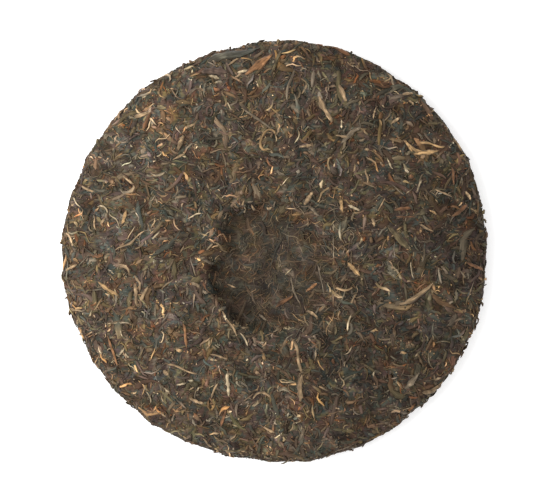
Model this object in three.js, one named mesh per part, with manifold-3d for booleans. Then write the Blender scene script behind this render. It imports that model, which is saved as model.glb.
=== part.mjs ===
// A round cake of pressed tea leaves. It lies on its smooth domed face, with the back face up, and the back
// holds the dimple that the knot of the pressing cloth leaves. Millimetres, +Z up. The origin is on the table,
// under the middle of the cake. The cake is one solid: a pressed body with its largest leaves fused on.
import * as THREE from "three";
import { mergeVertices } from "three/addons/utils/BufferGeometryUtils.js";
import Module from "manifold-3d";

// The pressed body
const CAKE_RADIUS = 100;
const CAKE_HEIGHT = 22; // at the crown, over the table
const RIM_HEIGHT = 9; // of the widest line, over the table
const FLAT_SINK = 0.35; // how much of the lower dome the table cuts away, which leaves the flat spot
const TOP_BLUNTNESS = 3.5; // exponents of the two half outlines: 2 is round, more is flatter with a fuller rim
const UNDER_BLUNTNESS = 4.5;

// The outline's departure from a circle: waves round it, each with its height and the angle of its crest
const OUTLINE_WAVES = [
  { count: 1, height: 1.3, crest: -30 },
  { count: 2, height: 0.58, crest: 16 },
  { count: 3, height: 0.66, crest: 67 },
  { count: 7, height: 0.3, crest: 27 },
  { count: 17, height: 0.22, crest: 4 },
  { count: 31, height: 0.28, crest: 2 },
];

// The dimple, off the cake's middle, steep at its left and slack at its right
const DIMPLE_X = 0.7;
const DIMPLE_Y = -7.8;
const DIMPLE_REACH_X = 35;
const DIMPLE_REACH_Y = 31;
const DIMPLE_DEPTH = 8;
const DIMPLE_FALL = 1.6; // how much deeper the floor is at its left end than in the middle
const STEEP_WALL = 5.5; // width of the wall from lip to floor
const SLACK_WALL = 24;
const SLACK_ANGLE = 20; // degrees
const SLUMP_WALL = 22; // of the short stretch where the steep wall has slumped
const SLUMP_ANGLE = 157; // degrees
const SLUMP_SHARPNESS = 20; // more is a shorter stretch
const LIP_BULGES = [
  { angle: 120, out: 3.2 },
  { angle: 207, out: -2 },
  { angle: 247, out: 1.3 },
];
const BULGE_SHARPNESS = 8;

// The gentle lumps of both faces, as crossed waves
const LUMPS = [
  { height: 0.32, alongX: 0.11, alongY: 0.05, shift: 1.3 },
  { height: 0.28, alongX: -0.06, alongY: 0.13, shift: 4.1 },
  { height: 0.2, alongX: 0.21, alongY: 0.17, shift: 2.2 },
  { height: 0.16, alongX: -0.27, alongY: 0.19, shift: 0.6 },
  { height: 0.22, alongX: 0.52, alongY: -0.44, shift: 3.3 },
];

// How finely the body and a leaf are divided. A zone of rows ends that far along the half section.
const BODY_SIDES = 56;
const ROW_ZONES = [
  { end: 20, rows: 3 },
  { end: 45, rows: 7 },
  { end: 90, rows: 8 },
  { end: 122, rows: 9 },
  { end: 160, rows: 4 },
];
const ROWS_UNDER_FLAT_SPOT = 2;
const LEAF_SIDES = 3; // one ridge outward, and a flat back inside the body
const FEWEST_LEAF_ROWS = 4;
const TURN_PER_ROW = 0.6; // radians

// Leaves of the back face that stand out one by one, seen from above with +Y up:
// middle x and y, heading in degrees, length, width, and how far the leaf turns along its length in degrees
const KNOWN_LEAVES = [
  [-5.6, 53.4, -115, 20, 1.6, 290],
  [-7.7, 62.3, -38, 21, 1.4, 0],
  [23.5, 65.5, -63, 16, 3.2, 10],
  [31.9, 73.4, -66, 10.5, 2.6, -15],
  [7, 77, -103, 18, 1.6, 30],
  [-7, 88.8, 36, 16, 6, 0],
  [-19, 94.6, 12, 28, 6.5, -10],
  [-28.6, 85.6, -8, 14, 4.5, 0],
  [66.8, 45.8, -18, 18, 1.8, 80],
  [73.3, 49.3, -8, 15, 1.5, 0],
  [-63.7, -20.5, -87, 12, 2.4, 10],
  [-60, -20, -118, 8.5, 2, 0],
  [-77, -18, -33, 12.5, 1.8, 12],
  [-95.2, -8.2, 27, 8, 1.8, 0],
  [-20.6, -33.8, -58, 15, 1.3, -10],
  [11.2, -48, -76, 18, 2, -20],
  [12, -63, -92, 14, 3.4, 0],
  [-21.4, -62.8, -87, 13.5, 1.9, 8],
  [-41, -39.5, -84, 13, 1.7, -30],
  [-75.2, -47, -72, 16, 1.8, -20],
  [-43, -54.8, -18, 18, 1.2, -20],
  [-36.3, -70.8, -20, 8.5, 1.8, 20],
  [-5.7, -66.5, 5, 12, 1.5, -150],
  [65.6, -21, 30, 21, 2.2, 40],
  [36.7, -8.6, -48, 9, 2.2, 0],
  [94.4, -7.5, -23, 11, 2.2, 0],
  [74.2, -64.5, 20, 13, 2.8, 45],
  [64, -60, 51, 10.5, 3.4, 0],
  [4.8, -23.5, 34, 10.5, 2.8, 0],
  [57.5, 6.4, -49, 15, 5, 0],
  [-66.5, 3.2, 33, 19, 1.2, 6],
  [-62.7, 64.8, 12, 9.5, 3, 15],
  [-60.6, 62, -116, 10, 2.6, 0],
  [-43.9, 51, 66, 8, 2.6, 0],
];

// The other large leaves, spread evenly between two distances from the pole of a face, along the face.
// Swing is the most that a leaf turns from lying along the rim.
const LEAF_ZONES = [
  { face: "back", count: 60, from: 0, to: 92, swing: Math.PI / 2 },
  { face: "back", count: 30, from: 96, to: 112, swing: Math.PI / 5 },
  { face: "domed", count: 20, from: 66, to: 92, swing: Math.PI / 3 },
];
const LEAF_LENGTH = [12, 24];
const LEAF_WIDTH = [1.8, 3.6];
const LEAF_TURN = 1.4; // most that a spread leaf turns along its length, in radians
const LEAF_THICKNESS = 0.55; // as a share of its width
const LEAF_THICKNESS_LIMIT = 1.7;
const LEAF_LIFT = 0.35; // of its middle line over the body, halfway along
const TIP_DIP = 1.5; // how much lower its tips are, so that they end inside the body
const TABLE_GAP = 0.1; // between a leaf under the cake and the table
const SMALLEST_EDGE = 0.002; // corners closer together than this count as one
const GOLDEN_ANGLE = Math.PI * (3 - Math.sqrt(5));
const LEAF_SEED = 357;

const degrees = THREE.MathUtils.degToRad;

// Repeatable numbers from 0 to 1, by a multiplicative congruential rule
function seededRandom(seed) {
  const multiplier = 48271;
  const modulus = 2147483647;
  let state = seed;
  return () => {
    state = (state * multiplier) % modulus;
    return state / modulus;
  };
}

// Half of the cake's section without its dimple, from the back face's pole round the rim to the other pole.
// x is the distance from the axis and y the height.
class Meridian extends THREE.Curve {
  getPoint(t, target = new THREE.Vector2()) {
    const turn = t * Math.PI;
    const across = Math.max(0, Math.sin(turn));
    const height = Math.abs(Math.cos(turn));
    if (t < 0.5) {
      const rise = (CAKE_HEIGHT - RIM_HEIGHT) * height;
      return target.set(CAKE_RADIUS * across ** (2 / TOP_BLUNTNESS), RIM_HEIGHT + rise);
    }
    const drop = (RIM_HEIGHT + FLAT_SINK) * height;
    return target.set(CAKE_RADIUS * across ** (2 / UNDER_BLUNTNESS), Math.max(0, RIM_HEIGHT - drop));
  }
}
const meridian = new Meridian();
meridian.arcLengthDivisions = 800;
const meridianLength = meridian.getLength();

// The distance along the back face from its pole to the points at this distance from the axis
function reachAtRadius(radius) {
  let low = 0;
  let high = meridianLength / 2;
  for (let step = 0; step < 30; step += 1) {
    const middle = (low + high) / 2;
    if (meridian.getPointAt(middle / meridianLength).x < radius) low = middle;
    else high = middle;
  }
  return low;
}

function outlineFactor(angle) {
  let departure = 0;
  for (const wave of OUTLINE_WAVES) {
    departure += wave.height * Math.cos(wave.count * (angle - degrees(wave.crest)));
  }
  return 1 + departure / CAKE_RADIUS;
}

// How far the dimple lowers the back face at a point
function dimpleDepth(x, y) {
  const dx = x - DIMPLE_X;
  const dy = y - DIMPLE_Y;
  const angle = Math.atan2(dy / DIMPLE_REACH_Y, dx / DIMPLE_REACH_X);
  const nearness = (direction, sharpness) => Math.max(0, Math.cos(angle - degrees(direction))) ** sharpness;
  let lip = Math.hypot(DIMPLE_REACH_X * Math.cos(angle), DIMPLE_REACH_Y * Math.sin(angle));
  for (const bulge of LIP_BULGES) {
    lip += bulge.out * nearness(bulge.angle, BULGE_SHARPNESS);
  }
  const slackness = ((1 + Math.cos(angle - degrees(SLACK_ANGLE))) / 2) ** 2;
  const slump = nearness(SLUMP_ANGLE, SLUMP_SHARPNESS);
  const plainWall = THREE.MathUtils.lerp(STEEP_WALL, SLACK_WALL, slackness);
  const wall = THREE.MathUtils.lerp(plainWall, SLUMP_WALL, slump);
  const inside = THREE.MathUtils.smootherstep(lip - Math.hypot(dx, dy), 0, wall);
  return inside * (DIMPLE_DEPTH - (DIMPLE_FALL * dx) / DIMPLE_REACH_X);
}

function lumpHeight(x, y) {
  let height = 0;
  for (const lump of LUMPS) {
    height += lump.height * Math.sin(lump.alongX * x + lump.alongY * y + lump.shift);
  }
  return height;
}

// The point of the body at a distance along the meridian from the back face's pole, in a direction from the axis
function bodyPoint(reach, angle) {
  const section = meridian.getPointAt(THREE.MathUtils.clamp(reach / meridianLength, 0, 1));
  const radius = section.x * outlineFactor(angle);
  const point = new THREE.Vector3(radius * Math.cos(angle), radius * Math.sin(angle), section.y);
  const aboveRim = THREE.MathUtils.smoothstep(section.y, RIM_HEIGHT, CAKE_HEIGHT);
  if (reach < meridianLength / 2) point.z -= dimpleDepth(point.x, point.y);
  point.z += lumpHeight(point.x, point.y) * aboveRim;
  return point;
}

// A face unrolled flat about its pole: along and across are distances on it, and the result is on the body
function facePoint(face, along, across) {
  const reach = Math.hypot(along, across);
  const angle = Math.atan2(across, along);
  return bodyPoint(face === "back" ? reach : meridianLength - reach, angle);
}

function faceNormal(face, along, across) {
  const step = 0.4;
  const eastward = facePoint(face, along + step, across).sub(facePoint(face, along - step, across));
  const northward = facePoint(face, along, across + step).sub(facePoint(face, along, across - step));
  const normal = eastward.cross(northward).normalize();
  return face === "back" ? normal : normal.negate();
}

// A ball geometry whose every vertex is moved by a rule that takes its share of the way from pole to pole, and
// its angle round that axis. The ball has no doubled triangles at its poles, so the result stays closed.
function reshapedBall(sides, rows, rule) {
  const ball = new THREE.SphereGeometry(1, sides, rows);
  ball.deleteAttribute("normal");
  const uv = ball.getAttribute("uv");
  const position = ball.getAttribute("position");
  for (let i = 0; i < position.count; i += 1) {
    const down = 1 - uv.getY(i);
    const nearPole = down < 0.5 / rows || down > 1 - 0.5 / rows;
    const round = nearPole ? 0 : (uv.getX(i) % 1) * 2 * Math.PI;
    const moved = rule(down, round);
    position.setXYZ(i, moved.x, moved.y, moved.z);
  }
  ball.deleteAttribute("uv");
  return mergeVertices(ball, 1e-4);
}

// How far along the half section each row of the body lies
function bodyRows() {
  const reaches = [0];
  for (const zone of [...ROW_ZONES, { end: meridianLength, rows: ROWS_UNDER_FLAT_SPOT }]) {
    const start = reaches.at(-1);
    for (let row = 1; row <= zone.rows; row += 1) {
      reaches.push(THREE.MathUtils.lerp(start, zone.end, row / zone.rows));
    }
  }
  return reaches;
}

function bodyGeometry() {
  const reaches = bodyRows();
  const rows = reaches.length - 1;
  return reshapedBall(BODY_SIDES, rows, (down, round) => bodyPoint(reaches[Math.round(down * rows)], round));
}

// A leaf: a flat spindle bent along an arc on a face, with both tips sunk into the body
function leafGeometry(leaf) {
  const thickness = Math.min(leaf.width * LEAF_THICKNESS, LEAF_THICKNESS_LIMIT);
  const bend = leaf.turn || 1e-6;
  const arcRadius = leaf.length / bend;
  const rows = Math.max(FEWEST_LEAF_ROWS, Math.ceil(Math.abs(bend) / TURN_PER_ROW));
  return reshapedBall(LEAF_SIDES, rows, (down, round) => {
    const share = 1 - down - 0.5;
    const turned = share * bend;
    const forward = arcRadius * Math.sin(turned);
    const sideways = arcRadius * (1 - Math.cos(turned));
    const along = leaf.x + forward * Math.cos(leaf.heading) - sideways * Math.sin(leaf.heading);
    const across = leaf.y + forward * Math.sin(leaf.heading) + sideways * Math.cos(leaf.heading);
    const normal = faceNormal(leaf.face, along, across);
    const direction = leaf.heading + turned;
    const point = facePoint(leaf.face, along, across);
    const ahead = facePoint(leaf.face, along + Math.cos(direction), across + Math.sin(direction));
    const side = normal.clone().cross(ahead.sub(point)).normalize();
    const fullness = Math.max(0, 1 - (2 * share) ** 2) ** 0.5;
    const corner = round + Math.PI / 2;
    point.addScaledVector(side, (Math.cos(corner) * fullness * leaf.width) / 2);
    const depth = Math.sin(corner) * fullness * thickness * 0.5;
    point.addScaledVector(normal, LEAF_LIFT + depth - TIP_DIP * (2 * share) ** 2);
    point.z = Math.max(point.z, TABLE_GAP);
    return point;
  });
}

function knownLeaves() {
  return KNOWN_LEAVES.map(([x, y, heading, length, width, turn]) => {
    const radius = Math.hypot(x, y);
    const stretch = reachAtRadius(radius) / radius;
    return {
      face: "back",
      x: x * stretch,
      y: y * stretch,
      heading: degrees(heading),
      length,
      width,
      turn: degrees(turn),
    };
  });
}

function spreadLeaves() {
  const random = seededRandom(LEAF_SEED);
  const between = ([low, high]) => THREE.MathUtils.lerp(low, high, random());
  const leaves = [];
  for (const zone of LEAF_ZONES) {
    for (let i = 0; i < zone.count; i += 1) {
      const share = (i + random()) / zone.count;
      const reach = Math.sqrt(THREE.MathUtils.lerp(zone.from ** 2, zone.to ** 2, share));
      const angle = i * GOLDEN_ANGLE;
      leaves.push({
        face: zone.face,
        x: reach * Math.cos(angle),
        y: reach * Math.sin(angle),
        heading: angle + Math.PI / 2 + (random() - 0.5) * 2 * zone.swing,
        length: between(LEAF_LENGTH),
        width: between(LEAF_WIDTH),
        turn: (random() - 0.5) * 2 * LEAF_TURN,
      });
    }
  }
  return leaves;
}

const wasm = await Module();
wasm.setup();

function solidFrom(geometry) {
  return new wasm.Manifold(
    new wasm.Mesh({
      numProp: 3,
      vertProperties: new Float32Array(geometry.getAttribute("position").array),
      triVerts: new Uint32Array(geometry.index.array),
    }),
  );
}

function geometryFrom(solid) {
  const mesh = solid.getMesh();
  return new THREE.BufferGeometry()
    .setAttribute("position", new THREE.BufferAttribute(mesh.vertProperties, 3))
    .setIndex(new THREE.BufferAttribute(mesh.triVerts, 1));
}

// The skin that encloses the most, so that a hollow sealed between two leaves is filled and a loose scrap dropped
function outerSkin(solid) {
  return solid.decompose().reduce((outer, skin) => (skin.volume() > outer.volume() ? skin : outer));
}

// The body with its leaves fused on. Its closest corners are merged, which can close off a hollow once more.
function cakeGeometry() {
  let cake = solidFrom(bodyGeometry());
  for (const leaf of [...knownLeaves(), ...spreadLeaves()]) {
    cake = cake.add(solidFrom(leafGeometry(leaf)));
  }
  const merged = mergeVertices(geometryFrom(outerSkin(cake)), SMALLEST_EDGE);
  return geometryFrom(outerSkin(solidFrom(merged)));
}

const pressedLeaf = new THREE.MeshStandardMaterial({ color: 0x574c3e, roughness: 0.75, metalness: 0 });
const teaCake = new THREE.Mesh(cakeGeometry(), pressedLeaf);
teaCake.name = "tea_cake";

const group = new THREE.Group();
group.add(teaCake);

export default group;
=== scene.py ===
"""A round cake of pressed tea leaves on a pale floor, seen from straight above.

The cake is a core in the form of the whole cake, painted dark as shade where it shows between the leaves,
covered with thousands of leaf pieces pressed into it.
Lengths are in millimetres until a mesh is made, and meshes are in metres. Angles are in radians, or in
degrees where a comment says so.
"""

import math

import bpy
import numpy as np
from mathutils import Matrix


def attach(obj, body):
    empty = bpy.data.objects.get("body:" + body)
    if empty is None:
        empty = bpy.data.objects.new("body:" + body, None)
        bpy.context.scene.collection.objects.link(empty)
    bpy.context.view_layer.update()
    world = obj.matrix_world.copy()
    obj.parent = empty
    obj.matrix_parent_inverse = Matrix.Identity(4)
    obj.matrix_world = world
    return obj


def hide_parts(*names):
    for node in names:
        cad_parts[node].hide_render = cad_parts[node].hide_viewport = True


MM = 0.001

# The form of the whole cake, as in the part
CAKE_RADIUS = 100
CAKE_HEIGHT = 22  # at the crown, over the table
RIM_HEIGHT = 9  # of the widest line, over the table
FLAT_SINK = 0.35  # how much of the lower dome the table cuts away
TOP_BLUNTNESS = 3.5
UNDER_BLUNTNESS = 4.5
OUTLINE_WAVES = (  # count, height, degrees
    (1, 1.3, -30),
    (2, 0.58, 16),
    (3, 0.66, 67),
    (7, 0.3, 27),
    (17, 0.22, 4),
    (31, 0.28, 2),
)
DIMPLE_X = 0.7
DIMPLE_Y = -7.8
DIMPLE_REACH_X = 35
DIMPLE_REACH_Y = 31
DIMPLE_DEPTH = 8
DIMPLE_FALL = 1.6  # how much deeper the floor is at its left end than in the middle
STEEP_WALL = 5.5
SLACK_WALL = 24
SLACK_ANGLE = 20  # degrees
SLUMP_WALL = 22
SLUMP_ANGLE = 157  # degrees
SLUMP_SHARPNESS = 20
LIP_BULGES = ((120, 3.2), (207, -2), (247, 1.3))  # degrees, how far out
BULGE_SHARPNESS = 8
LUMPS = (  # height, waves along x and y, shift
    (0.32, 0.11, 0.05, 1.3),
    (0.28, -0.06, 0.13, 4.1),
    (0.2, 0.21, 0.17, 2.2),
    (0.16, -0.27, 0.19, 0.6),
    (0.22, 0.52, -0.44, 3.3),
)
SECTION_STEPS = 6000
NORMAL_STEP = 0.4
BACK = 1.0  # the face with the dimple, which is up
DOMED = -1.0  # the face that the cake lies on

# Leaf colours in even light, in sRGB from 0 to 255
SLATE = (57, 58, 50)
# The colour of dull leaf ends, and of painted shade in leaves' hollows
DULL_AND_SHADE = (62, 52, 41)
UMBER = (64, 51, 41)
PLUM = (68, 54, 47)
EARTH = (79, 65, 49)
OLIVE = (80, 70, 49)
ASH = (93, 82, 67)
RUST = (92, 62, 40)
COPPER = (116, 81, 52)
TAN = (130, 108, 81)
GOLD = (150, 120, 82)
PALE = (158, 141, 113)

# How often each colour comes in a mix
DARK_MIX = ((SLATE, 4), (UMBER, 3), (PLUM, 3), (OLIVE, 1), (ASH, 0.8))
BROWN_MIX = ((EARTH, 4), (OLIVE, 3), (UMBER, 3), (ASH, 1.6), (RUST, 0.7))
FINE_MIX = ((SLATE, 3), (EARTH, 3), (ASH, 3), (OLIVE, 2), (PLUM, 2.5), (RUST, 0.6), (TAN, 1.3), (PALE, 0.2))
BUD_MIX = ((TAN, 3), (ASH, 3), (GOLD, 1), (RUST, 1), (OLIVE, 2))
BUD_TIP_MIX = ((TAN, 4), (GOLD, 1.5), (PALE, 0.7), (ASH, 2))
STEM_MIX = ((PALE, 1.2), (TAN, 3), (ASH, 2.5))
STRAND_MIX = ((ASH, 3), (EARTH, 3), (OLIVE, 2), (TAN, 1.5), (PLUM, 1), (RUST, 0.5))
CRUMB_MIX = ((SLATE, 3), (EARTH, 3), (ASH, 3), (TAN, 1.3), (COPPER, 0.6), (PALE, 0.1))
UNDER_MIX = ((SLATE, 4), (UMBER, 3), (PLUM, 3), (EARTH, 3), (OLIVE, 2), (ASH, 1.5), (TAN, 0.5))
FIBRE_MIX = ((ASH, 3), (EARTH, 1), (TAN, 0.6))

# Broad lighter and darker places of the cake: x, y, reach, and how much lighter, as a logarithm
PATCHES = (
    (-10, 85, 20, 0.2),  # the top
    (-50, 60, 20, 0.3),  # the upper left
    (-65, -35, 25, 0.2),  # the lower left
    (0, -85, 20, 0.3),  # the bottom
    (95, 5, 20, -0.5),  # the right edge, painted shade on the side away from the lamp
    (75, -20, 15, 0.2),  # inside it, at the lower right
    (35, -65, 15, -0.3),  # between the bottom and the right
    (30, -35, 20, -0.3),  # outside the dimple's lower right
    (-25, 40, 15, -0.3),  # outside the dimple's upper left
    (-20, -20, 10, -0.4),  # the dimple's left wall, painted shade
)
# Painted light: the cake is lighter toward the left and the top, on the lamp's side
PAINTED_LIGHT_LEFT = 0.0016  # for each millimetre
PAINTED_LIGHT_TOP = 0.0003
# Painted shade over the dimple's hollow
DIMPLE_SHADE = 0.27
EVENER_DIMPLE = 0.4  # the share of a leaf's own colour that is lost there
STEADIER_DIMPLE = 0.4  # the share of a leaf's own lightness that is lost there
LOWER_LEAF_SHADE = 0.8  # painted shade on leaves that lie lower, for each millimetre
WARMING = (1, 0.1, -0.9)  # of red, green and blue, as logarithms
WARMEST = 0.3
COOL_SHARE = 0.45  # how far leaves turn cooler, for how far they turn warmer
OWN_WARMTH = 0.04
GREENING = (-0.4, 0.5, 0)
OWN_GREENNESS = 0.03

# What drifts smoothly over the cake, each in layers: how strongly, how far apart the crests are, and a seed
DRIFT_WAVES = 9
HEADING_DRIFT = ((1.5, 70, 41), (0.8, 28, 42))
LIGHT_DRIFT = ((0.07, 38, 43), (0.16, 15, 44), (0.22, 7, 47))
WARMTH_DRIFT = ((0.06, 30, 45), (0.13, 10, 48))
GREEN_DRIFT = ((0.04, 14, 49),)
GOLDEN_DRIFT = ((0.11, 26, 46),)

# How likely a golden bit is
GOLDEN_SHARE = 0.22
GOLDEN_LEFT = 0.0016  # more for each millimetre
GOLDEN_BOTTOM = 0.0005
FEWER_IN_DIMPLE = 0.75

# Leaves of the back face that stand out one by one, read from enlarged views of the photo: middle x
# and y with +Y up, heading in degrees, length, width, how far the leaf turns along its length in degrees, and
# its colour. The first 34 are in the part too, where the sixth is one broad leaf.
KNOWN_LEAVES = (
    (-5.6, 53.4, -115, 20, 1.6, 290, GOLD),
    (-7.7, 62.3, -38, 21, 1.4, 0, ASH),
    (23.5, 65.5, -63, 16, 3.2, 10, TAN),
    (31.9, 73.4, -66, 10.5, 2.6, -15, TAN),
    (7, 77, -103, 18, 1.6, 30, ASH),
    (-7, 88.8, 36, 16, 3.4, 0, COPPER),
    (-19, 94.6, 12, 28, 6.5, -10, SLATE),
    (-28.6, 85.6, -8, 14, 4.5, 0, PLUM),
    (66.8, 45.8, -18, 18, 1.8, 80, GOLD),
    (73.3, 49.3, -8, 15, 1.5, 0, GOLD),
    (-63.7, -20.5, -87, 12, 2.4, 10, TAN),
    (-60, -20, -118, 8.5, 2, 0, TAN),
    (-77, -18, -33, 12.5, 1.8, 12, GOLD),
    (-95.2, -8.2, 27, 8, 1.8, 0, TAN),
    (-20.6, -33.8, -58, 15, 1.3, -10, TAN),
    (11.2, -48, -76, 18, 2, -20, TAN),
    (12, -63, -92, 14, 3.4, 0, TAN),
    (-21.4, -62.8, -87, 13.5, 1.9, 8, PALE),
    (-41, -39.5, -84, 13, 1.7, -30, COPPER),
    (-75.2, -47, -72, 16, 1.8, -20, COPPER),
    (-43, -54.8, -18, 18, 1.2, -20, TAN),
    (-36.3, -70.8, -20, 8.5, 1.8, 20, TAN),
    (-5.7, -66.5, 5, 12, 1.5, -150, TAN),
    (65.6, -21, 30, 21, 2.2, 40, TAN),
    (36.7, -8.6, -48, 9, 2.2, 0, GOLD),
    (94.4, -7.5, -23, 11, 2.2, 0, RUST),
    (74.2, -64.5, 20, 13, 2.8, 45, TAN),
    (64, -60, 51, 10.5, 3.4, 0, ASH),
    (4.8, -23.5, 34, 10.5, 2.8, 0, RUST),
    (57.5, 6.4, -49, 15, 5, 0, OLIVE),
    (-66.5, 3.2, 33, 19, 1.2, 6, TAN),
    (-62.7, 64.8, 12, 9.5, 3, 15, TAN),
    (-60.6, 62, -116, 10, 2.6, 0, RUST),
    (-43.9, 51, 66, 8, 2.6, 0, TAN),
    (-14.8, 85.6, 12, 6, 1.8, 0, PALE),
    (1.4, 89.5, -112, 12.5, 2.4, 0, OLIVE),
    (-19.5, 90.4, 38, 8, 1.2, 0, TAN),
    (-28.4, 82.8, -20, 6, 1.8, 0, PALE),
    (53.4, 39.8, -63, 6.5, 1, 60, PALE),
    (32.5, 52.8, -3, 8.5, 1.6, 0, TAN),
    (35.3, 53.7, -135, 12, 2.4, 10, ASH),
    (14.9, 48.3, 5, 6.5, 1.5, 0, TAN),
    (-55, 35.6, 5, 8, 1.1, 100, PALE),
    (-68.6, 33.2, -38, 8, 1.4, 0, TAN),
    (-88.4, 29, -23, 9, 1.5, 15, TAN),
    (-93.6, 23, -49, 7.5, 1.1, 0, PALE),
    (-79.5, 20.5, -35, 8, 0.9, -150, PALE),
    (-84, 12.8, -80, 8, 1.2, 45, TAN),
    (-70, 15.4, -106, 7.5, 1.8, -20, GOLD),
    (-54.7, 7, 50, 5.5, 1.2, 0, PALE),
    (-91, -27, 10, 4, 1.5, 0, GOLD),
    (-71, -47.5, 52, 4.5, 1.3, 0, PALE),
    (63.4, -9, -85, 8.5, 1, 50, PALE),
    (70.8, 10.2, -27, 8, 1.2, 0, TAN),
    (34.2, -33, -103, 9.5, 1.1, 40, PALE),
    (49.5, 21, 63, 8, 1, -20, TAN),
    (-2.2, -84, -27, 6.5, 1.8, 0, TAN),
    (-40.1, 59.2, 30, 5.8, 1.5, 0, TAN),
    (-45, 44.6, 24, 7, 1.4, 0, TAN),
    (18.5, 18.5, -45, 8, 2, 20, ASH),
    (16.2, 24.2, 55, 8, 2.4, 0, TAN),
    (31.2, 21, -82, 7.5, 1.8, 10, GOLD),
    (36.9, 19.6, -28, 6.5, 1.4, 0, PALE),
    (9.4, -18.5, -72, 15, 1, 25, ASH),
    (22, -13, -78, 17, 0.9, -20, ASH),
    (17.7, -17, 40, 7, 1.6, 0, COPPER),
    (17.9, -29, -32, 6, 1.7, 0, TAN),
    (-5, -31.7, -42, 5.5, 1.5, 0, ASH),
    (-19.9, -16.7, -22, 4.8, 1.2, 0, TAN),
    (-30.6, -5.1, -18, 7, 1.4, 0, ASH),
    (-38.6, 19.6, -18, 6.2, 1.2, 0, RUST),
    (-37.4, 16.6, 22, 8.8, 1, -35, PALE),
    (-31.8, -19.4, -20, 3, 1.8, 0, ASH),
    (-22.4, -31.3, -64, 5, 1.4, 20, PALE),
    (-14.5, 22.5, 60, 3, 1.2, 0, TAN),
    (-11, 23.2, 10, 3, 1.2, 0, ASH),
    (-9.7, 20.5, -50, 3, 1.2, 20, TAN),
    (-2, 20, 0, 3, 1.2, 40, TAN),
    (0.4, 21.8, 70, 3, 1.2, 0, ASH),
    (-8.5, 86.6, 27, 13, 2.6, 0, COPPER),
    (-4, 89, 52, 12, 2.6, 0, COPPER),
    (62.5, 48, -58, 7.5, 1.5, 10, GOLD),
    (70.5, 45.3, 8, 14, 2.2, 10, GOLD),
    (46.9, 64, -105, 7, 1, 20, TAN),
    (56.3, 60, 35, 6, 1.6, 0, TAN),
    (37.6, 55.7, 30, 7.5, 2.4, 0, ASH),
    (31.5, 58.4, -90, 5.5, 1.1, 0, PALE),
    (43, 46.5, 0, 2.5, 1.8, 0, TAN),
    (43, 34.3, -80, 7.5, 1.2, 0, TAN),
    (63.2, 34, 0, 2.5, 2, 0, RUST),
    (66.7, 29.7, 70, 7, 1.2, 0, PALE),
    (78.3, 26.8, -22, 11, 1, 0, TAN),
    (56.5, 28, -45, 9, 0.9, 30, ASH),
    (59.7, 19.3, 8, 9, 1.8, 0, RUST),
    (60.6, 15.6, 0, 10, 1, 0, RUST),
    (73.7, 17.8, -30, 4.5, 1.2, 0, GOLD),
    (46.1, 13, -80, 4.5, 1.8, 0, TAN),
    (90.4, 25.8, -55, 6, 1.6, 0, TAN),
    (86.4, 18.5, 38, 10.5, 2.4, 0, RUST),
    (83, 34.6, -80, 9, 1.8, 0, RUST),
    (85.8, 49.6, -62, 8, 1.6, 0, TAN),
    (62.8, 73, 10, 6.5, 1.6, 0, TAN),
    (70.3, 70.3, -18, 4, 1.2, 0, ASH),
    (64, 68.7, -40, 3.5, 1.5, 0, TAN),
    (-68.7, -49.2, -50, 3, 1.2, 0, PALE),
    (-71.3, -38.7, -70, 4, 1, 0, PALE),
    (-13.5, -41.5, -60, 8, 1.1, -30, PALE),
    (-32, -48, -80, 6, 1.8, 0, RUST),
    (-25.7, -49.4, -17, 10, 1.2, 0, TAN),
    (-50.5, -57.3, -40, 3.5, 2.2, 0, TAN),
    (-43, -62.2, 10, 5, 1.2, 0, PALE),
    (-50, -65.2, -35, 3.5, 1, 60, PALE),
    (-38.5, -64.8, 30, 3, 1.2, 0, TAN),
    (-35.3, -65, 70, 2.2, 0.9, 0, PALE),
    (-28, -65.8, 68, 8.5, 1.3, -20, TAN),
    (-23.8, -79.4, -108, 9.5, 1.8, 0, RUST),
    (-51.7, -77, -45, 4, 1.1, 0, TAN),
    (-47.4, -79, 70, 4, 1.3, 0, ASH),
    (-31.5, -91.7, -52, 7.5, 1.2, 0, TAN),
    (-18.3, -94.6, 5, 11, 1.6, 0, OLIVE),
    (21.5, -10.5, -80, 8, 0.8, 60, ASH),
    (27.8, 1.2, -88, 12, 0.8, 10, ASH),
)

# The part's other large leaves: face, count, least and greatest distance from the pole, and most swing from
# lying along the rim
PART_LEAF_ZONES = (
    (BACK, 60, 0, 92, math.pi / 2),
    (BACK, 30, 96, 112, math.pi / 5),
    (DOMED, 20, 66, 92, math.pi / 3),
)
PART_LEAF_LENGTH = (12, 24)
PART_LEAF_WIDTH = (1.8, 3.6)
PART_LEAF_TURN = 1.4
PART_LEAF_SEED = 357

# How a known leaf is drawn
KNOWN_WIDTH = 0.85  # times the width in the list
KNOWN_THICKNESS = 0.6  # times the width in the list
KNOWN_THICKEST = 1.3
KNOWN_OWN_COLOUR = 0.8
KNOWN_EARTH_COLOUR = 0.2
KNOWN_TIP_LIGHT = 1.2

# The rule that spreads leaves, which the part has too
GOLDEN_ANGLE = math.pi * (3 - math.sqrt(5))
RANDOM_FACTOR = 48271
RANDOM_MODULUS = 2147483647

# The form of leaves
ROLLED_THICKNESS = (0.5, 0.95)  # times the width
FLAT_THICKNESS = (0.16, 0.34)  # times the width
FLAT_WIDENING = 1.3
SHORT_BIAS = 1.7  # above 1, short leaves come more often than long ones
OWN_HEADING = 0.8
BLUNTNESS = (1.8, 6)
ROLLED_TWIST = 2.6
FLAT_TWIST = 0.7
RIDGE = (0.1, 0.38)
HOOK_STATIONS = (0.1, 0.5)  # where along a leaf its hook begins and ends
SWAYS = 1.4  # along a leaf
GRAIN_SPAN = 400  # over which the leaves' places in the grain are set apart
MAP_MARGIN = 0.06  # inside a leaf's cell on the map

# The colour along a leaf
TIP_STATIONS = (-0.1, 0.35)  # between which the tip's colour takes over
CORNER_UNEVENNESS = 0.6  # against 1 for a whole ring
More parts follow.
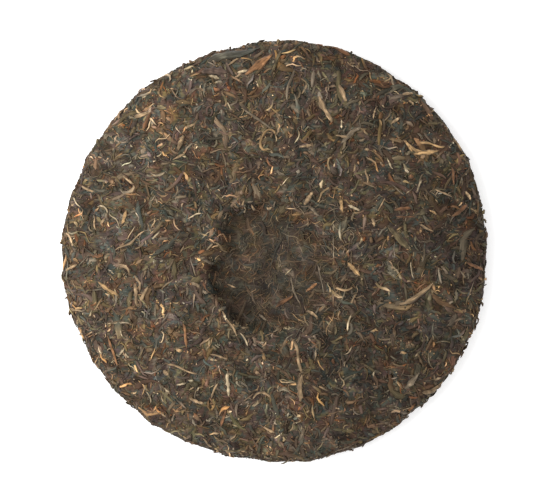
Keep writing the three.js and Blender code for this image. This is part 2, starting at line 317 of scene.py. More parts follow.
# Painted highlight and painted shade: a leaf is lighter toward the crest of its upper side, and darker and
# duller below it
HOLLOW_LIGHT = 0.86
CREST_HIGHLIGHT = 0.4
LEAST_LIGHT = 0.5
END_DULLNESS = 0.75
HOLLOW_SHADE = 0.35

# How the pieces lie
BACK_REACH = 113  # along the back face, from its pole to a little under the widest line
DOMED_REACH = 108
PRESS = 0.2  # how gently a leaf's height levels off where it is pressed
TABLE_GAP = 0.02
TABLE_GAP_SPREAD = 0.15  # by how much the gap differs from leaf to leaf
TABLE_PRESS = 0.3  # how softly the table flattens the leaves under the cake
CALMER_DIMPLE = 0.65  # the share of a leaf's height and depth that is lost there
KEPT_WIDTH = 0.55  # the share of a leaf's width and thickness that is left as it is there
CALMED_WIDTH = 0.45
SCATTER = 1
OWN_TILT = 0.3
FIBRES_X = 12
FIBRES_REACH = 32
LEAF_NUMBERS = (
    "face x y heading length width thickness bluntness turn hook sway roll twist lobes ridge ragged "
    "lift tilt dip level seed uneven"
).split()
LEAF = np.dtype([(name, float) for name in LEAF_NUMBERS] + [("colour", float, 3), ("tip_colour", float, 3)])

# The core
CORE_LINES = 160  # of the grid over each face
CORE_SINK = 1.1  # of its lowest places under the cake's surface
CORE_TABLE_GAP = 0.5
CORE_LEAVES = 15000  # pressed into each face as relief
CORE_LEAF_REACH = 118
CORE_CALMER_DIMPLE = 0.5
CORE_CALMER_FLAT = 0.65  # the share of the relief that is lost in the middle of the domed face
CORE_FLAT_FADE = 2.5  # how steeply that share fades toward the rim
CORE_SHADE = 0.6  # painted shade of the gaps between the leaves, times the colour of dark leaves
CORE_RIDGE = 0.5  # how high its leaves stand along their middles, over their edges
CORE_TIP_DROP = 0.7
CORE_MAP_HALF = (0.245, 0.49)  # half the width and height of one face's place on the map
RELIEF_CELL = 0.6
RELIEF_SIDE = 400  # cells along each side of the relief's square
RELIEF_STEPS = 1000  # of height, for each millimetre
OWNER_BITS = 16  # for a leaf's number, kept under its height in one whole number
NO_LEAF = -(10**9)

# Leaf material
NOISE_LOW = 0.32
NOISE_HIGH = 0.68
LEAF_SPECULAR = 0.12
SHEEN_ROUGHNESS = 0.5
GLOSS_SPREAD = 0.1
RELIEF_HEIGHT = 0.3

# The stage
FLOOR_SIZE = 4  # metres
FLOOR_WHITE = (0.95, 0.95, 0.95, 1)
FLOOR_GLOW = 0.25
WHITE = (1, 1, 1, 1)
KEY_PLACE = (-0.34, 0.03, 0.37)  # metres
KEY_SIZE = 0.5  # metres
KEY_POWER = 2.6  # watts
VIEW_WIDTH = 255.5  # at the cake's widest line
VIEW_MIDDLE = (-1.9, 0.24)
LENS = 90
SENSOR_WIDTH = 36


def half_section():
    """Distances along half of the section from the back face's pole, with the radius and height at each."""
    turn = np.linspace(0, np.pi, SECTION_STEPS)
    across = np.sin(turn).clip(0)
    height = np.abs(np.cos(turn))
    back = turn < np.pi / 2
    radius = CAKE_RADIUS * across ** np.where(back, 2 / TOP_BLUNTNESS, 2 / UNDER_BLUNTNESS)
    rise = (CAKE_HEIGHT - RIM_HEIGHT) * height
    drop = (RIM_HEIGHT + FLAT_SINK) * height
    level = np.where(back, RIM_HEIGHT + rise, (RIM_HEIGHT - drop).clip(0))
    steps = np.hypot(np.diff(radius), np.diff(level))
    return np.concatenate([[0], np.cumsum(steps)]), radius, level


REACHES, RADII, LEVELS = half_section()
WHOLE_REACH = REACHES[-1]
RIM_REACH = REACHES[np.argmax(RADII)]


def smoothstep(value, low, high):
    share = ((value - low) / (high - low)).clip(0, 1)
    return share * share * (3 - 2 * share)


def smootherstep(value, low, high):
    share = ((value - low) / (high - low)).clip(0, 1)
    return share**3 * (share * (share * 6 - 15) + 10)


def outline_factor(angle):
    departure = 0
    for count, height, crest in OUTLINE_WAVES:
        departure = departure + height * np.cos(count * (angle - math.radians(crest)))
    return 1 + departure / CAKE_RADIUS


def dimple_share(x, y):
    """From 0 outside the dimple to 1 on its floor."""
    dx = x - DIMPLE_X
    dy = y - DIMPLE_Y
    angle = np.arctan2(dy / DIMPLE_REACH_Y, dx / DIMPLE_REACH_X)
    lip = np.hypot(DIMPLE_REACH_X * np.cos(angle), DIMPLE_REACH_Y * np.sin(angle))
    for direction, out in LIP_BULGES:
        lip = lip + out * np.cos(angle - math.radians(direction)).clip(0) ** BULGE_SHARPNESS
    slackness = ((1 + np.cos(angle - math.radians(SLACK_ANGLE))) / 2) ** 2
    slump = np.cos(angle - math.radians(SLUMP_ANGLE)).clip(0) ** SLUMP_SHARPNESS
    wall = STEEP_WALL + (SLACK_WALL - STEEP_WALL) * slackness
    wall = wall + (SLUMP_WALL - wall) * slump
    return smootherstep((lip - np.hypot(dx, dy)) / wall, 0, 1)


def dimple_depth(x, y):
    return dimple_share(x, y) * (DIMPLE_DEPTH - DIMPLE_FALL * (x - DIMPLE_X) / DIMPLE_REACH_X)


def lump_height(x, y):
    total = 0
    for height, along_x, along_y, shift in LUMPS:
        total = total + height * np.sin(along_x * x + along_y * y + shift)
    return total


def face_points(face, along, across):
    """Points of the cake's surface. Along and across are distances on a face unrolled about its pole."""
    reach = np.hypot(along, across)
    angle = np.arctan2(across, along)
    reach = np.where(face == BACK, reach, WHOLE_REACH - reach).clip(0, WHOLE_REACH)
    radius = np.interp(reach, REACHES, RADII) * outline_factor(angle)
    level = np.interp(reach, REACHES, LEVELS)
    x = radius * np.cos(angle)
    y = radius * np.sin(angle)
    z = level - dimple_depth(x, y) * (reach < WHOLE_REACH / 2)
    z += lump_height(x, y) * smoothstep(level, RIM_HEIGHT, CAKE_HEIGHT)
    return np.stack([x, y, z], axis=-1)


def raised_points(face, along, across, height):
    """Points at a height over the cake's surface, along its normal."""
    east = face_points(face, along + NORMAL_STEP, across)
    west = face_points(face, along - NORMAL_STEP, across)
    north = face_points(face, along, across + NORMAL_STEP)
    south = face_points(face, along, across - NORMAL_STEP)
    normal = np.cross(east - west, north - south)
    normal *= (face / np.linalg.norm(normal, axis=-1))[..., None]
    return face_points(face, along, across) + normal * height[..., None]


def drift(x, y, wavelength, seed):
    """A smooth random field, about as far from 0 as a normal draw, with crests about a wavelength apart."""
    rng = np.random.default_rng(seed)
    total = np.zeros_like(x)
    for _ in range(DRIFT_WAVES):
        heading = rng.random() * 2 * np.pi
        length = wavelength * between(rng, 0.7, 1.5)
        forward = x * np.cos(heading) + y * np.sin(heading)
        total += np.sin(2 * np.pi * (forward / length + rng.random()))
    return total / math.sqrt(DRIFT_WAVES / 2)


def drifts(x, y, layers):
    """The sum of a few drifts."""
    return sum(strength * drift(x, y, wavelength, seed) for strength, wavelength, seed in layers)


def patch_light(x, y):
    """How much lighter than elsewhere the leaf is at a point, as a logarithm: its own tone drifts at random,
    with painted light toward the left and top and painted shade over the dimple, at the right edge and on the
    dimple's left wall.
    """
    light = drifts(x, y, LIGHT_DRIFT)
    # Painted light, lighter to the left and top, and painted shade over the dimple
    light += PAINTED_LIGHT_TOP * y - PAINTED_LIGHT_LEFT * x - DIMPLE_SHADE * dimple_share(x, y)
    for patch_x, patch_y, reach, change in PATCHES:
        light += change * np.exp(-((x - patch_x) ** 2 + (y - patch_y) ** 2) / reach**2)
    return light


def linear(colour):
    """An sRGB colour from 0 to 255 as linear numbers from 0 to 1."""
    share = np.asarray(colour, float) / 255
    return np.where(share <= 0.04045, share / 12.92, ((share + 0.055) / 1.055) ** 2.4)


def between(rng, low, high, count=None):
    return low + (high - low) * rng.random(count)


def seeded_random(seed):
    """Repeatable numbers from 0 to 1, by the rule that also places the part's leaves."""
    state = seed
    while True:
        state = state * RANDOM_FACTOR % RANDOM_MODULUS
        yield state / RANDOM_MODULUS


def spread(rng, count, face, start, end):
    """Leaves with their places set: even over a face, from one distance from its pole to another."""
    leaves = np.zeros(count, LEAF)
    share = (np.arange(count) + rng.random(count)) / count
    reach = np.sqrt(start**2 + (end**2 - start**2) * share)
    angle = np.arange(count) * GOLDEN_ANGLE + rng.random() * 2 * np.pi
    leaves["face"] = face
    leaves["x"] = reach * np.cos(angle) + rng.normal(0, SCATTER, count)
    leaves["y"] = reach * np.sin(angle) + rng.normal(0, SCATTER, count)
    leaves["seed"] = rng.random(count)
    return leaves


def picked(rng, mix, evenness):
    """A linear colour of the mix for each leaf, nearer the mix's own average where leaves are even."""
    weights = np.array([weight for _, weight in mix])
    weights = weights / weights.sum()
    table = linear([colour for colour, _ in mix])
    colours = table[rng.choice(len(table), len(evenness), p=weights)]
    return colours + (weights @ table - colours) * evenness[:, None]


def paint(rng, leaves, mix, tip_mix=None, own_tip=0.55, jitter=0.1):
    """Gives each leaf a colour and a tip of its own colour, lighter or darker by chance, by place, partly as
    painted light and shade, and with painted shade on leaves that lie lower.
    """
    count = len(leaves)
    x, y = leaves["x"], leaves["y"]
    evenness = EVENER_DIMPLE * dimple_share(x, y) * (leaves["face"] == BACK)
    leaves["colour"] = picked(rng, mix, evenness)
    leaves["tip_colour"] = picked(rng, tip_mix or mix, evenness)
    plain = rng.random(count) < own_tip
    leaves["tip_colour"][plain] = leaves["colour"][plain]
    # By place, partly painted light and shade, and painted shade on leaves that lie lower
    light = np.where(leaves["face"] == BACK, patch_light(x, y), 0) + LOWER_LEAF_SHADE * leaves["lift"]
    light += rng.normal(0, jitter, count) * (1 - STEADIER_DIMPLE * dimple_share(x, y))
    warmth = drifts(x, y, WARMTH_DRIFT) + rng.normal(0, OWN_WARMTH, count)
    warmth = np.where(warmth < 0, COOL_SHARE * warmth, WARMEST * np.tanh(warmth / WARMEST))
    greenness = drifts(x, y, GREEN_DRIFT) + rng.normal(0, OWN_GREENNESS, count)
    change = light[:, None] + warmth[:, None] * WARMING + greenness[:, None] * GREENING
    leaves["colour"] *= np.exp(change)
    leaves["tip_colour"] *= np.exp(change)


def shape(rng, leaves, length, width, flatness=0.35, turn=1, hook=0.9, sway=0.4, ragged=0.15):
    """Gives each leaf its form. Flatness is the share of leaves that are flat flakes and not rolled."""
    count = len(leaves)
    flat = rng.random(count) < flatness
    rolled_thickness = between(rng, *ROLLED_THICKNESS, count)
    flat_thickness = between(rng, *FLAT_THICKNESS, count)
    leaves["length"] = length[0] + (length[1] - length[0]) * rng.random(count) ** SHORT_BIAS
    leaves["width"] = between(rng, *width, count) * np.where(flat, FLAT_WIDENING, 1)
    leaves["thickness"] = leaves["width"] * np.where(flat, flat_thickness, rolled_thickness)
    leaves["heading"] = drifts(leaves["x"], leaves["y"], HEADING_DRIFT)
    leaves["heading"] += rng.normal(0, OWN_HEADING, count)
    leaves["bluntness"] = between(rng, *BLUNTNESS, count)
    leaves["turn"] = rng.normal(0, turn, count)
    leaves["hook"] = rng.normal(0, hook, count)
    leaves["sway"] = rng.normal(0, sway, count)
    leaves["roll"] = rng.normal(0, 0.4, count)
    leaves["twist"] = rng.normal(0, 1, count) * np.where(flat, FLAT_TWIST, ROLLED_TWIST)
    leaves["lobes"] = np.where(rng.random(count) < 0.5, 2, 3)
    leaves["ridge"] = between(rng, *RIDGE, count)
    leaves["ragged"] = ragged
    leaves["uneven"] = 0.1


def settle(rng, leaves, lift, level, dip):
    """How high each leaf lies, how high it may stand and how deep its tips go. All is less in the dimple."""
    count = len(leaves)
    calm = 1 - CALMER_DIMPLE * dimple_share(leaves["x"], leaves["y"]) * (leaves["face"] == BACK)
    leaves["lift"] = between(rng, *lift, count) * calm
    leaves["level"] = between(rng, *level, count) * calm
    leaves["dip"] = between(rng, *dip, count) * calm
    leaves["tilt"] = rng.normal(0, OWN_TILT, count) * calm
    for name in ("width", "thickness"):
        leaves[name] *= KEPT_WIDTH + CALMED_WIDTH * calm


def columns(leaves, names):
    """The leaves' numbers of these names, each ready to be spread over the rows of a leaf."""
    return [leaves[name][:, None] for name in names.split()]


def leaf_paths(leaves, stations):
    """The middle line of each leaf on its face, and its direction, at stations from -0.5 to 0.5 along it."""
    x, y, heading, length, turn, hook, sway, seed = columns(leaves, "x y heading length turn hook sway seed")
    direction = heading + turn * stations
    direction = direction + hook * smoothstep(stations, *HOOK_STATIONS)
    direction = direction + sway * np.sin(2 * np.pi * (SWAYS * stations + seed))
    halfway = (direction[:, 1:] + direction[:, :-1]) / 2
    step = np.diff(stations) * length
    along = np.pad(np.cumsum(step * np.cos(halfway), axis=1), ((0, 0), (1, 0)))
    across = np.pad(np.cumsum(step * np.sin(halfway), axis=1), ((0, 0), (1, 0)))
    middle = stations.shape[1] // 2
    along += x - along[:, middle, None]
    across += y - across[:, middle, None]
    return along, across, direction


def leaf_sections(rng, leaves, stations, sides):
    """The rings of each leaf in its own section: how far each corner is sideways and upward."""
    bluntness, width, thickness = columns(leaves, "bluntness width thickness")
    lobes, ridge, ragged, seed = (column[..., None] for column in columns(leaves, "lobes ridge ragged seed"))
    around = np.arange(sides) * 2 * np.pi / sides
    fullness = (1 - np.abs(2 * stations) ** bluntness).clip(0) ** 0.6
    fullness = fullness * (1 + ragged[..., 0] * rng.normal(0, 1, fullness.shape)).clip(0.5, 1.5)
    fluting = 1 + ridge * np.cos(lobes * around + 2 * np.pi * seed)
    fluting = fluting * (1 + 0.6 * ragged * rng.normal(0, 1, fullness.shape + (sides,))).clip(0.6, 1.4)
    sideways = np.cos(around) * fluting * (fullness * width / 2)[..., None]
    upward = np.sin(around) * fluting * (fullness * thickness / 2)[..., None]
    return sideways, upward


def leaf_tints(rng, leaves, stations, crest):
    """Each corner's colour: a painted highlight on crests and painted shade below them, fading to the tip's
    colour, dull at both ends, and uneven.
    """
    toward_tip = smoothstep(stations, *TIP_STATIONS)[..., None]
    colour = leaves["colour"][:, None, :] * (1 - toward_tip) + leaves["tip_colour"][:, None, :] * toward_tip
    uneven = leaves["uneven"][:, None, None]
    ring_light = rng.normal(0, 1, crest.shape[:2] + (1,)) + rng.normal(0, CORNER_UNEVENNESS, crest.shape)
    # Painted highlight toward the crest of a leaf's upper side, and painted shade, darker and duller, below
    # it
    light = (HOLLOW_LIGHT + CREST_HIGHLIGHT * crest).clip(LEAST_LIGHT) * np.exp(uneven * ring_light)
    end_dullness = (END_DULLNESS * np.abs(2 * stations) ** 4)[..., None]
    dull_and_shade = end_dullness + HOLLOW_SHADE * (1 - crest).clip(0, 1)
    colour = colour[:, :, None, :]
    return (colour + (linear(DULL_AND_SHADE) - colour) * dull_and_shade.clip(0, 1)[..., None]) * light[..., None]


def ring_vertices(rings):
    """One vertex for each tip, and every vertex of the rings between."""
    between_tips = rings[:, 1:-1].reshape(len(rings), -1, 3)
    return np.concatenate([rings[:, 0, :1], between_tips, rings[:, -1, :1]], axis=1)


def leaf_shapes(rng, leaves, rows, sides):
    """The vertices of each leaf, with their colours and their places in the leaf's own grain."""
    stations = -0.5 * np.cos(np.linspace(0, np.pi, rows + 2))[None, :]
    along, across, direction = leaf_paths(leaves, stations)
    sideways, upward = leaf_sections(rng, leaves, stations, sides)
    roll, twist, lift, tilt, dip = columns(leaves, "roll twist lift tilt dip")
    turned = (roll + twist * stations)[..., None]
    offset = sideways * np.cos(turned) - upward * np.sin(turned)
    height = sideways * np.sin(turned) + upward * np.cos(turned)
    crest = height / (np.abs(height).max(axis=2, keepdims=True) + 1e-9)
    height = height + (lift + tilt * stations - dip * (2 * stations) ** 2)[..., None]
    level = leaves["level"][:, None, None]
    height = level - PRESS * np.logaddexp(0, (level - height) / PRESS)

    point_along = along[..., None] - np.sin(direction)[..., None] * offset
    point_across = across[..., None] + np.cos(direction)[..., None] * offset
    face = np.broadcast_to(leaves["face"][:, None, None], height.shape)
    points = raised_points(face, point_along, point_across, height)
    own_gap = TABLE_GAP + TABLE_GAP_SPREAD * leaves["seed"][:, None, None]
    points[..., 2] = own_gap + TABLE_PRESS * np.logaddexp(0, (points[..., 2] - own_gap) / TABLE_PRESS)

    forward = np.broadcast_to((stations * leaves["length"][:, None])[..., None], offset.shape)
    grain = np.stack([forward, sideways, upward], -1) + leaves["seed"][:, None, None, None] * GRAIN_SPAN
    tints = leaf_tints(rng, leaves, stations, crest)
    return ring_vertices(points), ring_vertices(tints), ring_vertices(grain)


def leaf_corners(rows, sides):
    """The triangles of one leaf, a tip at each end and rings between, and each corner's place on it."""
    faces = []
    places = []
    last = 1 + rows * sides

    def ring(row, side):
        return 1 + row * sides + side % sides

    for side in range(sides):
        faces.append((0, ring(0, side + 1), ring(0, side)))
        places.append(((0, side + 0.5), (1, side + 1), (1, side)))
        for row in range(rows - 1):
            faces.append((ring(row, side), ring(row, side + 1), ring(row + 1, side + 1)))
            places.append(((row + 1, side), (row + 1, side + 1), (row + 2, side + 1)))
            faces.append((ring(row, side), ring(row + 1, side + 1), ring(row + 1, side)))
            places.append(((row + 1, side), (row + 2, side + 1), (row + 2, side)))
        faces.append((last, ring(rows - 1, side), ring(rows - 1, side + 1)))
        places.append(((rows + 1, side + 0.5), (rows, side), (rows, side + 1)))
    return np.array(faces), np.array(places) / (rows + 1, sides)


def leaf_piece(rng, name, leaves, rows, sides, material):
    """One mesh that holds all leaves of a kind. rows is odd, so that a leaf has a ring halfway."""
    points, colour, grain = leaf_shapes(rng, leaves, rows, sides)
    corners, places = leaf_corners(rows, sides)
    faces = corners[None] + (np.arange(len(leaves)) * points.shape[1])[:, None, None]
    spots = np.broadcast_to(places[None], faces.shape + (2,)).copy()
    under = leaves["face"] == DOMED
    faces[under] = faces[under][:, :, ::-1]
    spots[under] = spots[under][:, :, ::-1]

    # Each leaf has a cell of its own on the map
    columns_of_cells = math.ceil(math.sqrt(len(leaves) / 2))
    lines_of_cells = math.ceil(len(leaves) / columns_of_cells)
    number = np.arange(len(leaves))
    cell = np.stack([number % columns_of_cells, number // columns_of_cells], -1)
    spots = cell[:, None, None, :] + MAP_MARGIN + spots * (1 - 2 * MAP_MARGIN)
    spots = spots / (columns_of_cells, lines_of_cells)
    make_piece(name, points, faces, spots, colour, grain, material)


def make_piece(name, points, faces, spots, colour, grain, material):
    colour = colour.reshape(-1, 3)
    faces = faces.reshape(-1, 3)
    mesh = bpy.data.meshes.new(name)
    mesh.vertices.add(len(colour))
    mesh.vertices.foreach_set("co", (points * MM).ravel())
    mesh.loops.add(faces.size)
    mesh.loops.foreach_set("vertex_index", faces.ravel().astype(np.int32))
    mesh.polygons.add(len(faces))
    mesh.polygons.foreach_set("loop_start", np.arange(0, faces.size, 3, dtype=np.int32))
    mesh.uv_layers.new(name="OFBake").data.foreach_set("uv", spots.ravel())
    tint = mesh.color_attributes.new("tint", "FLOAT_COLOR", "POINT")
    tint.data.foreach_set("color", np.column_stack([colour, np.ones(len(colour))]).ravel())
    mesh.attributes.new("grain", "FLOAT_VECTOR", "POINT").data.foreach_set("vector", grain.ravel())
    mesh.update(calc_edges=True)
    mesh.shade_smooth()
    mesh.materials.append(material)
    made = bpy.data.objects.new(name, mesh)
    bpy.context.scene.collection.objects.link(made)
    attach(made, "root")
    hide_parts("tea_cake")


def disc_grid():
    """A square grid drawn onto a disc of radius 1, with cells of one size."""
    line = np.linspace(-1, 1, CORE_LINES)
    u, v = np.meshgrid(line, line, indexing="ij")
    wide = np.abs(u) > np.abs(v)
    radius = np.where(wide, u, v)
    ratio = np.where(wide, v, u) / np.where(radius == 0, 1, radius)
    angle = np.where(wide, np.pi / 4 * ratio, np.pi / 2 - np.pi / 4 * ratio)
    return radius * np.cos(angle), radius * np.sin(angle)


def relief_cells(along, across):
    cells = []
    for distance in (along, across):
        cells.append((distance / RELIEF_CELL + RELIEF_SIDE / 2).astype(int).clip(0, RELIEF_SIDE - 1))
    return cells


def stamped(leaves, steps=26, lanes=5):
    """A square field of heights with each leaf pressed into it as a ridge, and which leaf is on top."""
    share = np.linspace(-0.5, 0.5, steps)[None, :, None]
    lane = np.linspace(-0.5, 0.5, lanes)[None, None, :]
    x, y, heading, turn, length, width, lift = (
        column[..., None] for column in columns(leaves, "x y heading turn length width lift"))
    direction = heading + turn * share / 2
    side = lane * width
    along = x + share * length * np.cos(direction) - side * np.sin(direction)
    across = y + share * length * np.sin(direction) + side * np.cos(direction)
    height = lift + CORE_RIDGE * (1 - (2 * lane) ** 2) - CORE_TIP_DROP * (2 * share) ** 4
    cell_x, cell_y = relief_cells(along, across)
    owner = np.broadcast_to(np.arange(len(leaves))[:, None, None], height.shape)
    owners = 2**OWNER_BITS
    ranked = (height * RELIEF_STEPS).astype(np.int64) * owners + owner
    field = np.full((RELIEF_SIDE, RELIEF_SIDE), NO_LEAF, np.int64)
    np.maximum.at(field, (cell_x.ravel(), cell_y.ravel()), ranked.ravel())
    return field // owners / RELIEF_STEPS, field % owners


def core_face(rng, face, reach):
    """One face of the core: its vertices, their colours and their places in the grain."""
    leaves = spread(rng, CORE_LEAVES, face, start=0, end=CORE_LEAF_REACH)
    shape(rng, leaves, length=(4, 13), width=(1.2, 2.6))
    leaves["lift"] = between(rng, 0, 0.6, len(leaves))
    paint(rng, leaves, DARK_MIX)
    heights, owner = stamped(leaves)
    grid_x, grid_y = disc_grid()
    along = grid_x * reach
    across = grid_y * reach
    cell_x, cell_y = relief_cells(along, across)
    if face == BACK:
        calm = 1 - CORE_CALMER_DIMPLE * dimple_share(along, across)
    else:
        flatness = np.clip(CORE_FLAT_FADE - CORE_FLAT_FADE * np.hypot(grid_x, grid_y), 0, 1)
        calm = 1 - CORE_CALMER_FLAT * flatness
    relief = (heights[cell_x, cell_y].clip(0, CORE_SINK) - CORE_SINK) * calm
    points = raised_points(np.full(along.shape, face), along, across, relief)
    # The core is darkened as painted shade where it shows between the leaves
    colour = leaves["colour"][owner[cell_x, cell_y] % len(leaves)] * CORE_SHADE
    return points, colour, np.stack([along, across, relief], -1)


def core_piece(rng, material):
    """The core: two gridded faces that share the cake's widest line."""
    top = core_face(rng, BACK, RIM_REACH)
    under = core_face(rng, DOMED, WHOLE_REACH - RIM_REACH)
    under[0][..., 2] = np.maximum(under[0][..., 2], CORE_TABLE_GAP)
    count = CORE_LINES * CORE_LINES
    number = np.arange(count).reshape(CORE_LINES, CORE_LINES)
    inner = np.zeros((CORE_LINES, CORE_LINES), bool)
    inner[1:-1, 1:-1] = True
    under_number = number.copy()
    under_number[inner] = count + np.arange(inner.sum())
    spots = np.stack(disc_grid(), -1)
    # The map's left half is the back face's and its right half the domed one's. Each cell is cut from its
    # outermost corner to its innermost one, so that no triangle is a sliver.
    past_middle = np.arange(CORE_LINES - 1) >= CORE_LINES // 2
    crossed = past_middle[:, None] != past_middle[None, :]
    faces = []
    maps = []
    for numbers, centre, turned in ((number, 0.25, False), (under_number, 0.75, True)):
        corner = [numbers[:-1, :-1], numbers[1:, :-1], numbers[1:, 1:], numbers[:-1, 1:]]
        spot = [spots[:-1, :-1], spots[1:, :-1], spots[1:, 1:], spots[:-1, 1:]]
        for cells, trios in ((~crossed, ((0, 1, 2), (0, 2, 3))), (crossed, ((0, 1, 3), (1, 2, 3)))):
            for trio in trios:
                order = trio[::-1] if turned else trio
                faces.append(np.stack([corner[i][cells] for i in order], -1))
                flat = np.stack([spot[i][cells] for i in order], -2)
                maps.append(flat * CORE_MAP_HALF + (centre, 0.5))
    joined = [np.concatenate([a.reshape(-1, 3), b[inner]]) for a, b in zip(top, under)]
    points, colour, grain = joined
    faces = np.concatenate(faces)
    maps = np.concatenate(maps)
    make_piece("core", points, faces, maps, colour, grain, material)


def noise_node(material, stretch, scale, detail):
    """Noise in the leaf's own grain, stretched along it."""
    nodes = material.node_tree.nodes
    links = material.node_tree.links
    grain = nodes.new("ShaderNodeAttribute")
    grain.attribute_name = "grain"
    mapping = nodes.new("ShaderNodeMapping")
    mapping.inputs["Scale"].default_value = stretch
    links.new(grain.outputs["Vector"], mapping.inputs["Vector"])
    noise = nodes.new("ShaderNodeTexNoise")
    noise.inputs["Scale"].default_value = scale
    noise.inputs["Detail"].default_value = detail
    links.new(mapping.outputs["Vector"], noise.inputs["Vector"])
    return noise


def ranged(material, source, low, high):
    """The noise, spread from one value at its lows to another at its highs."""
    node = material.node_tree.nodes.new("ShaderNodeMapRange")
    node.inputs["From Min"].default_value = NOISE_LOW
    node.inputs["From Max"].default_value = NOISE_HIGH
    node.inputs["To Min"].default_value = low
    node.inputs["To Max"].default_value = high
    material.node_tree.links.new(source.outputs["Fac"], node.inputs["Value"])
    return node


def varied(material, colour, noise, amount):
    """The colour, made lighter and darker by the noise."""
    links = material.node_tree.links
    scaled = material.node_tree.nodes.new("ShaderNodeVectorMath")
    scaled.operation = "SCALE"
    links.new(colour, scaled.inputs[0])
    change = ranged(material, noise, 1 - amount, 1 + amount)
    links.new(change.outputs["Result"], scaled.inputs["Scale"])
    return scaled.outputs["Vector"]


def leaf_material(name, roughness, bump, streaks, blotches, sheen=0.0):
    """Dry leaf: its own tint with streaks along the grain and blotches, uneven gloss and fine ridges."""
    material = bpy.data.materials.new(name)
    material.use_nodes = True
    nodes = material.node_tree.nodes
    links = material.node_tree.links
    shader = nodes["Principled BSDF"]
    shader.inputs["Specular IOR Level"].default_value = LEAF_SPECULAR
    if sheen:
        shader.inputs["Sheen Weight"].default_value = sheen
        shader.inputs["Sheen Roughness"].default_value = SHEEN_ROUGHNESS
    streak = noise_node(material, stretch=(0.25, 2.4, 2.4), scale=1.2, detail=4)
    blotch = noise_node(material, stretch=(0.14, 0.9, 0.9), scale=1.4, detail=2)
    tint = nodes.new("ShaderNodeAttribute")
    tint.attribute_name = "tint"
    streaked = varied(material, tint.outputs["Color"], streak, streaks)
    blotched = varied(material, streaked, blotch, blotches)
    links.new(blotched, shader.inputs["Base Color"])
    gloss = ranged(material, streak, roughness + GLOSS_SPREAD, roughness - GLOSS_SPREAD)
    links.new(gloss.outputs["Result"], shader.inputs["Roughness"])
    relief = nodes.new("ShaderNodeBump")
    relief.inputs["Strength"].default_value = bump
    relief.inputs["Distance"].default_value = RELIEF_HEIGHT * MM
    links.new(streak.outputs["Fac"], relief.inputs["Height"])
    links.new(relief.outputs["Normal"], shader.inputs["Normal"])
    return material


def small_leaves(seed, count, length, width, mix, jitter):
    """Small twisted leaves over the back face and its rim."""
    rng = np.random.default_rng(seed)
    leaves = spread(rng, count, BACK, start=0, end=BACK_REACH)
    shape(rng, leaves, length, width)
    settle(rng, leaves, lift=(-0.6, 0.25), level=(0.15, 0.75), dip=(0.3, 1.3))
    paint(rng, leaves, mix, jitter=jitter)
    return rng, leaves


def dark_leaves():
    return small_leaves(seed=21, count=2800, length=(3, 11), width=(0.8, 1.8), mix=DARK_MIX, jitter=0.2)


def brown_leaves():
    return small_leaves(seed=22, count=2800, length=(3, 11), width=(0.8, 1.8), mix=BROWN_MIX, jitter=0.2)


def fine_leaves():
    return small_leaves(seed=32, count=6800, length=(1.8, 5.5), width=(0.45, 1.1), mix=FINE_MIX, jitter=0.25)


def golden_chance(x, y):
    """How likely a golden bit is at a point: more to the left, and few in the dimple."""
    chance = GOLDEN_SHARE - GOLDEN_LEFT * x - GOLDEN_BOTTOM * y + drifts(x, y, GOLDEN_DRIFT)
    return chance * (1 - FEWER_IN_DIMPLE * dimple_share(x, y))


def buds():
    rng = np.random.default_rng(23)
    leaves = spread(rng, 1500, BACK, start=0, end=BACK_REACH)
    leaves = leaves[rng.random(len(leaves)) < golden_chance(leaves["x"], leaves["y"])]
    shape(rng, leaves, length=(3.5, 12), width=(0.7, 1.5), flatness=0.2, turn=1.2, hook=1.2)
    settle(rng, leaves, lift=(-0.25, 0.4), level=(0.35, 0.85), dip=(0.3, 1.2))
    paint(rng, leaves, BUD_MIX, BUD_TIP_MIX, own_tip=0.3, jitter=0.16)
    return rng, leaves


def stems():
    rng = np.random.default_rng(24)
    leaves = spread(rng, 560, BACK, start=0, end=BACK_REACH)
    leaves = leaves[rng.random(len(leaves)) < golden_chance(leaves["x"], leaves["y"])]
    shape(rng, leaves, length=(4, 12), width=(0.4, 0.85), flatness=0, turn=1.2, hook=1.5)
    settle(rng, leaves, lift=(0, 0.45), level=(0.4, 0.9), dip=(0.2, 1.0))
    paint(rng, leaves, STEM_MIX, own_tip=0.4)
    return rng, leaves


def strands():
    """Thin twisted leaves that wind over the others."""
    rng = np.random.default_rng(33)
    leaves = spread(rng, 550, BACK, start=0, end=BACK_REACH)
    shape(rng, leaves, length=(5, 14), width=(0.45, 0.9), flatness=0, turn=1.3, hook=1.2, sway=0.7)
    settle(rng, leaves, lift=(-0.05, 0.35), level=(0.35, 0.8), dip=(0.2, 0.9))
    paint(rng, leaves, STRAND_MIX, own_tip=0.4)
    return rng, leaves


def fibres():
    """Thin pale fibres pressed flat, as a net over the right of the dimple's floor."""
    rng = np.random.default_rng(27)
    leaves = spread(rng, 190, BACK, start=0, end=FIBRES_REACH)
    leaves["x"] += FIBRES_X
    leaves["y"] += DIMPLE_Y
    shape(rng, leaves, length=(4, 12), width=(0.35, 0.7), flatness=0, turn=0.9, hook=0.9, sway=0.7)
    settle(rng, leaves, lift=(0.1, 0.4), level=(0.5, 0.8), dip=(0.2, 0.6))
    paint(rng, leaves, FIBRE_MIX, own_tip=0.5)
    return rng, leaves


def broad_leaves():
    """Broad torn leaves that lie flat, mostly under the small ones."""
    rng = np.random.default_rng(28)
    leaves = spread(rng, 180, BACK, start=0, end=BACK_REACH)
    shape(rng, leaves, length=(6, 13), width=(1.8, 3.2), flatness=1, turn=0.5, hook=0.4, ragged=0.25)
    settle(rng, leaves, lift=(-0.35, 0), level=(0.05, 0.45), dip=(0.2, 0.9))
    leaves["thickness"] = leaves["thickness"].clip(0.4, 0.8)
    leaves["lobes"] = 4
    leaves["ridge"] = 0.25
    paint(rng, leaves, DARK_MIX + BROWN_MIX)
    return rng, leaves


